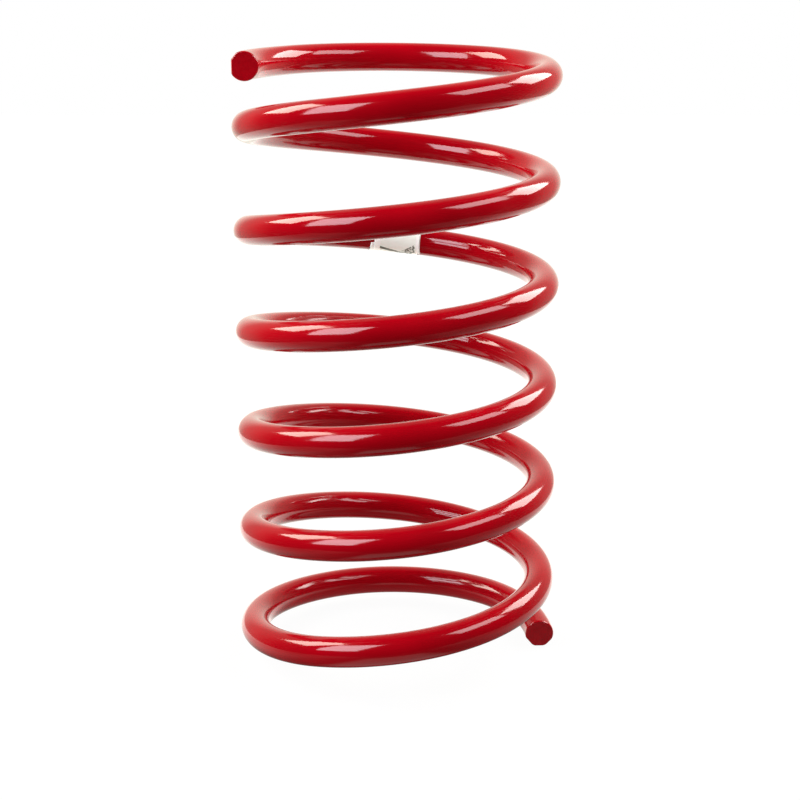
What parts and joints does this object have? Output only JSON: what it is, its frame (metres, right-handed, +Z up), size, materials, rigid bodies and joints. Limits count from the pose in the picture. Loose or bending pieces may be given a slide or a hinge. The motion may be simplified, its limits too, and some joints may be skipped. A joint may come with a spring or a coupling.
{
  "type": "coil spring",
  "caption": "Helical compression spring of round wire, red enamelled, with nearly level end turns, open coils and a label wrapped round the wire; it closes under load.",
  "frame": {"origin": "on the coil's axis, level with the lowest point of the wire", "axes": "+Z up the coil's axis; +X through the lower cut end; the wire rises anticlockwise seen from above"},
  "size_m": [0.15, 0.148, 0.2837],
  "materials": {
    "wire": "gloss",
    "label": "satin"
  },
  "bodies": {
    "lower_end": {"lower_end_coil": "wire"},
    "section_01": {"coil_section_01": "wire"},
    "section_02": {"coil_section_02": "wire"},
    "section_03": {"coil_section_03": "wire"},
    "section_04": {"coil_section_04": "wire"},
    "section_05": {"coil_section_05": "wire"},
    "section_06": {"coil_section_06": "wire"},
    "section_07": {"coil_section_07": "wire"},
    "section_08": {"coil_section_08": "wire"},
    "section_09": {"coil_section_09": "wire"},
    "section_10": {"coil_section_10": "wire"},
    "section_11": {"coil_section_11": "wire"},
    "section_12": {"coil_section_12": "wire"},
    "section_13": {"coil_section_13": "wire"},
    "section_14": {"coil_section_14": "wire", "wrapped_label": "label"},
    "section_15": {"coil_section_15": "wire"},
    "section_16": {"coil_section_16": "wire"},
    "section_17": {"coil_section_17": "wire"},
    "section_18": {"coil_section_18": "wire"},
    "section_19": {"coil_section_19": "wire"},
    "upper_end": {"upper_end_coil": "wire"}
  },
  "joints": [
    {"name": "twist_01", "type": "hinge", "parent": "lower_end", "child": "section_01", "pos_m": [0.04738, -0.04738, 0.03159], "axis": [-0.7019, -0.7019, -0.1213], "range_deg": [0, 3], "stiffness_Nm_per_rad": 4900},
    {"name": "twist_02", "type": "hinge", "parent": "section_01", "child": "section_02", "pos_m": [0.04738, 0.04738, 0.04389], "axis": [0.7027, -0.7027, -0.1108], "range_deg": [0, 3], "stiffness_Nm_per_rad": 4900},
    {"name": "twist_03", "type": "hinge", "parent": "section_02", "child": "section_03", "pos_m": [-0.04738, 0.04738, 0.05545], "axis": [0.7029, 0.7029, -0.1091], "range_deg": [0, 6], "stiffness_Nm_per_rad": 2450},
    {"name": "twist_04", "type": "hinge", "parent": "section_03", "child": "section_04", "pos_m": [-0.04738, -0.04738, 0.067], "axis": [-0.7029, 0.7029, -0.1091], "range_deg": [0, 6], "stiffness_Nm_per_rad": 2450},
    {"name": "twist_05", "type": "hinge", "parent": "section_04", "child": "section_05", "pos_m": [0.04738, -0.04738, 0.07855], "axis": [-0.7029, -0.7029, -0.1091], "range_deg": [0, 6], "stiffness_Nm_per_rad": 2450},
    {"name": "twist_06", "type": "hinge", "parent": "section_05", "child": "section_06", "pos_m": [0.04738, 0.04738, 0.0901], "axis": [0.7029, -0.7029, -0.1091], "range_deg": [0, 6], "stiffness_Nm_per_rad": 2450},
    {"name": "twist_07", "type": "hinge", "parent": "section_06", "child": "section_07", "pos_m": [-0.04738, 0.04738, 0.10165], "axis": [0.7029, 0.7029, -0.1091], "range_deg": [0, 6], "stiffness_Nm_per_rad": 2450},
    {"name": "twist_08", "type": "hinge", "parent": "section_07", "child": "section_08", "pos_m": [-0.04738, -0.04738, 0.1132], "axis": [-0.7029, 0.7029, -0.1091], "range_deg": [0, 6], "stiffness_Nm_per_rad": 2450},
    {"name": "twist_09", "type": "hinge", "parent": "section_08", "child": "section_09", "pos_m": [0.04738, -0.04738, 0.12475], "axis": [-0.7029, -0.7029, -0.1091], "range_deg": [0, 6], "stiffness_Nm_per_rad": 2450},
    {"name": "compress", "type": "hinge", "parent": "section_09", "child": "section_10", "pos_m": [0.04738, 0.04738, 0.1363], "axis": [0.7029, -0.7029, -0.1091], "range_deg": [0, 6], "stiffness_Nm_per_rad": 2450},
    {"name": "twist_11", "type": "hinge", "parent": "section_10", "child": "section_11", "pos_m": [-0.04738, 0.04738, 0.14785], "axis": [0.7029, 0.7029, -0.1091], "range_deg": [0, 6], "stiffness_Nm_per_rad": 2450},
    {"name": "twist_12", "type": "hinge", "parent": "section_11", "child": "section_12", "pos_m": [-0.04738, -0.04738, 0.1594], "axis": [-0.7029, 0.7029, -0.1091], "range_deg": [0, 6], "stiffness_Nm_per_rad": 2450},
    {"name": "twist_13", "type": "hinge", "parent": "section_12", "child": "section_13", "pos_m": [0.04738, -0.04738, 0.17095], "axis": [-0.7029, -0.7029, -0.1091], "range_deg": [0, 6], "stiffness_Nm_per_rad": 2450},
    {"name": "twist_14", "type": "hinge", "parent": "section_13", "child": "section_14", "pos_m": [0.04738, 0.04738, 0.1825], "axis": [0.7029, -0.7029, -0.1091], "range_deg": [0, 6], "stiffness_Nm_per_rad": 2450},
    {"name": "twist_15", "type": "hinge", "parent": "section_14", "child": "section_15", "pos_m": [-0.04738, 0.04738, 0.19405], "axis": [0.7029, 0.7029, -0.1091], "range_deg": [0, 6], "stiffness_Nm_per_rad": 2450},
    {"name": "twist_16", "type": "hinge", "parent": "section_15", "child": "section_16", "pos_m": [-0.04738, -0.04738, 0.2056], "axis": [-0.7029, 0.7029, -0.1091], "range_deg": [0, 6], "stiffness_Nm_per_rad": 2450},
    {"name": "twist_17", "type": "hinge", "parent": "section_16", "child": "section_17", "pos_m": [0.04738, -0.04738, 0.21715], "axis": [-0.7029, -0.7029, -0.1091], "range_deg": [0, 6], "stiffness_Nm_per_rad": 2450},
    {"name": "twist_18", "type": "hinge", "parent": "section_17", "child": "section_18", "pos_m": [0.04738, 0.04738, 0.2287], "axis": [0.7029, -0.7029, -0.1091], "range_deg": [0, 6], "stiffness_Nm_per_rad": 2450},
    {"name": "twist_19", "type": "hinge", "parent": "section_18", "child": "section_19", "pos_m": [-0.04738, 0.04738, 0.24025], "axis": [0.7029, 0.7029, -0.1091], "range_deg": [0, 3], "stiffness_Nm_per_rad": 4900},
    {"name": "twist_20", "type": "hinge", "parent": "section_19", "child": "upper_end", "pos_m": [-0.04738, -0.04738, 0.2518], "axis": [-0.7029, 0.7029, -0.1091], "range_deg": [0, 3], "stiffness_Nm_per_rad": 4900}
  ],
  "couplings": [
    {"joint": "twist_01", "follows": "compress", "ratio": 0.5},
    {"joint": "twist_02", "follows": "compress", "ratio": 0.5},
    {"joint": "twist_03", "follows": "compress", "ratio": 1},
    {"joint": "twist_04", "follows": "compress", "ratio": 1},
    {"joint": "twist_05", "follows": "compress", "ratio": 1},
    {"joint": "twist_06", "follows": "compress", "ratio": 1},
    {"joint": "twist_07", "follows": "compress", "ratio": 1},
    {"joint": "twist_08", "follows": "compress", "ratio": 1},
    {"joint": "twist_09", "follows": "compress", "ratio": 1},
    {"joint": "twist_11", "follows": "compress", "ratio": 1},
    {"joint": "twist_12", "follows": "compress", "ratio": 1},
    {"joint": "twist_13", "follows": "compress", "ratio": 1},
    {"joint": "twist_14", "follows": "compress", "ratio": 1},
    {"joint": "twist_15", "follows": "compress", "ratio": 1},
    {"joint": "twist_16", "follows": "compress", "ratio": 1},
    {"joint": "twist_17", "follows": "compress", "ratio": 1},
    {"joint": "twist_18", "follows": "compress", "ratio": 1},
    {"joint": "twist_19", "follows": "compress", "ratio": 0.5},
    {"joint": "twist_20", "follows": "compress", "ratio": 0.5}
  ]
}
